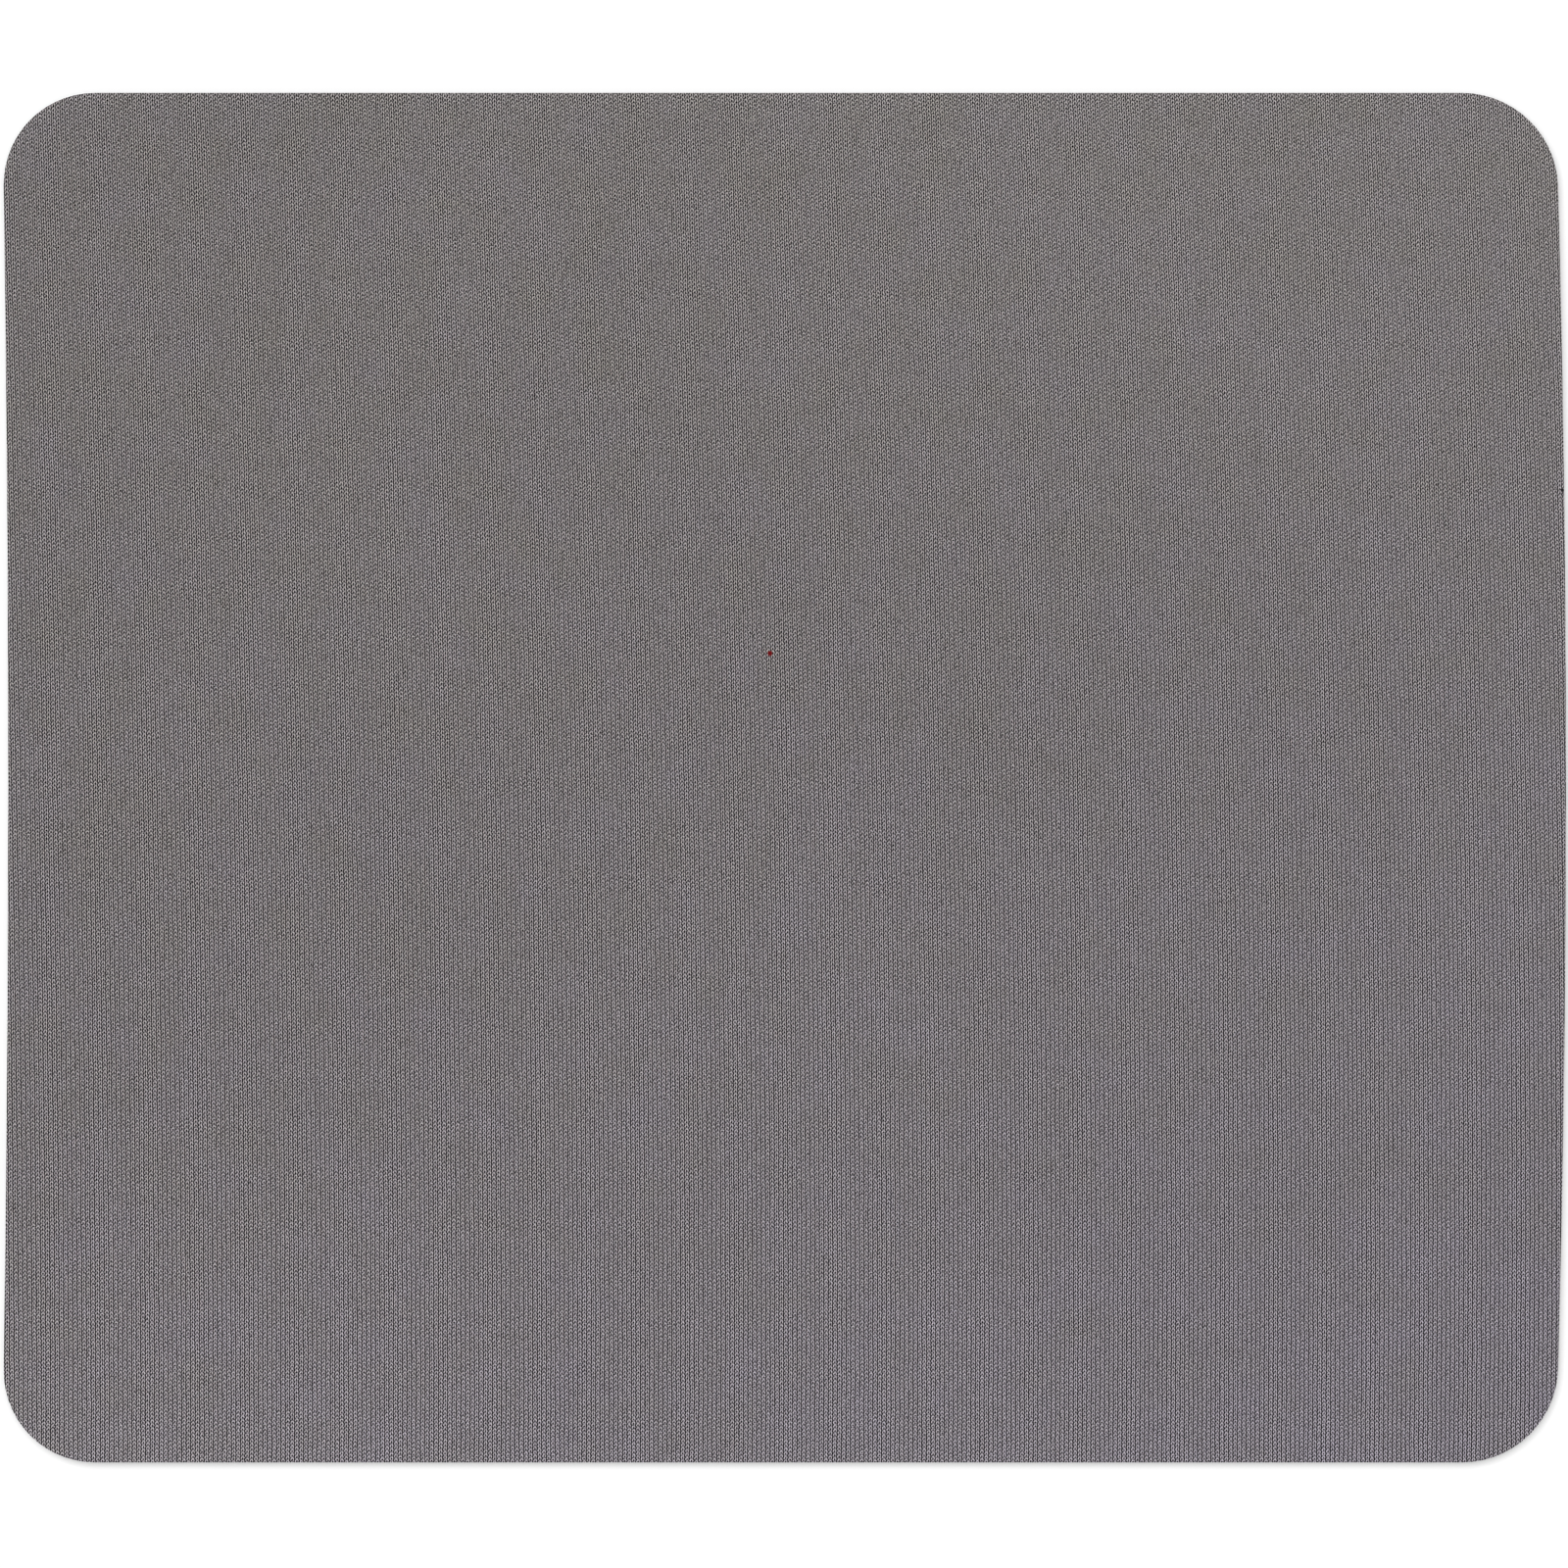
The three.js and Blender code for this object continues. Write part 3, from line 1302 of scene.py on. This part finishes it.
@dataclass(frozen=True)
class Studio:
    """A white table under soft light, and a camera that looks straight down.

    Attributes:
        top: Height of the pad's face, in metres.
        view_width: Width of the picture at the pad's face, in metres.
        aim_x: Place along X that the camera looks at, in metres.
        aim_y: Place along Y that the camera looks at, in metres.
        lens: Focal length, in millimetres.
        sky: Share of the light that comes from all round.
        key_tilt: Angle of the key light from straight above, in degrees.
        key_turn: Angle of the key light round the pad from the right, in degrees.
        key_spread: Apparent size of the key light, in degrees.
        floor_reach: Half size of the table, in metres.
        floor_colour: Colour of the table.
        floor_lift: Light that the table gives off towards the camera.
    """

    top: float
    view_width: float = 251.83 * MM
    aim_x: float = -0.05 * MM
    aim_y: float = -1.02 * MM
    lens: float = 200.0
    sky: float = 0.4
    key_tilt: float = 12.0
    key_turn: float = 125.0
    key_spread: float = 40.0
    floor_reach: float = 4.0
    floor_colour: Colour = (0.92, 0.92, 0.92)
    floor_lift: float = 0.18

    def set_up(self) -> None:
        """Makes the camera, the light and the table, and sets the view."""
        bpy.context.scene.view_settings.view_transform = "Standard"
        self._camera()
        self._key_light()
        self._world()
        self._floor()

    def _camera(self) -> None:
        """Puts the camera over the pad."""
        data = bpy.data.cameras.new("camera")
        data.lens = self.lens
        camera = bpy.data.objects.new("camera", data)
        distance = self.view_width * self.lens / data.sensor_width
        camera.location = (self.aim_x, self.aim_y, self.top + distance)
        bpy.context.scene.collection.objects.link(camera)
        bpy.context.scene.camera = camera

    def _key_light(self) -> None:
        """Adds a wide soft light from behind on the left, which with the sky renders a colour as written."""
        tilt, turn = math.radians(self.key_tilt), math.radians(self.key_turn)
        data = bpy.data.lights.new("key_light", "SUN")
        data.angle = math.radians(self.key_spread)
        data.energy = (1 - self.sky) * math.pi / math.cos(tilt)
        light = bpy.data.objects.new("key_light", data)
        towards = Vector((
            math.sin(tilt) * math.cos(turn), math.sin(tilt) * math.sin(turn), math.cos(tilt)
        ))
        light.rotation_mode = "QUATERNION"
        light.rotation_quaternion = towards.to_track_quat("Z", "Y")
        light.location = towards
        bpy.context.scene.collection.objects.link(light)

    def _world(self) -> None:
        """Lights the pad from all round, in front of a white backdrop."""
        world = bpy.data.worlds.new("studio")
        world.use_nodes = True
        bpy.context.scene.world = world
        bench = Bench(world.node_tree)
        light = bench.node("ShaderNodeBackground", {}, {"Color": (1, 1, 1, 1), "Strength": self.sky})
        white = bench.node("ShaderNodeBackground", {}, {"Color": (1, 1, 1, 1), "Strength": 1.0})
        bench.finish("ShaderNodeOutputWorld", self._when_seen(bench, light, white))

    def _floor(self) -> None:
        """Lays a white table under the pad, which keeps the pad's shadow."""
        bpy.ops.object.select_all(action="DESELECT")
        bpy.ops.mesh.primitive_plane_add(size=2 * self.floor_reach)
        floor = bpy.context.active_object
        floor.name = "table"
        bench, material = Bench.for_material("white_table")
        matt = bench.node("ShaderNodeBsdfDiffuse", {}, {"Color": opaque(self.floor_colour)})
        glow = bench.node("ShaderNodeEmission", {}, {"Color": (1, 1, 1, 1), "Strength": self.floor_lift})
        lifted = bench.node("ShaderNodeAddShader", {}, {"Shader": matt, "Shader_001": glow})
        bench.finish("ShaderNodeOutputMaterial", self._when_seen(bench, matt, lifted))
        floor.data.materials.append(material)

    @staticmethod
    def _when_seen(bench: Bench, otherwise: Signal, seen: Signal) -> Signal:
        """Picks a shader by how a surface is looked at.

        Args:
            bench: The bench of the tree.
            otherwise: The shader that lights other surfaces.
            seen: The shader that the camera sees, also in gloss and through glass.

        Returns:
            The picked shader.
        """
        direct = bench.node("ShaderNodeLightPath", output="Is Camera Ray")
        in_gloss = direct.sibling("Is Glossy Ray")
        through_glass = direct.sibling("Is Transmission Ray")
        looks = direct.at_least(in_gloss).at_least(through_glass)
        return bench.node("ShaderNodeMixShader", {}, {"Fac": looks, "Shader": otherwise, "Shader_001": seen})


def main() -> None:
    """Builds the pad's layers from the desk up, then the studio, and notes the sizes."""
    logging.basicConfig(level=logging.INFO, format="%(message)s")
    outline = Outline.of_layer(Layer.KNIT)
    lay = Lay(outline)
    for layer in (FoamBase(outline, lay), BondingFilm(outline, lay), KnitCloth(outline, lay)):
        piece = layer.build()
        LOG.info("%s: %d vertices, %d faces", piece.name, len(piece.data.vertices), len(piece.data.polygons))
    Studio(Layer.KNIT.box()[1].z).set_up()


if __name__ == "__main__":
    main()
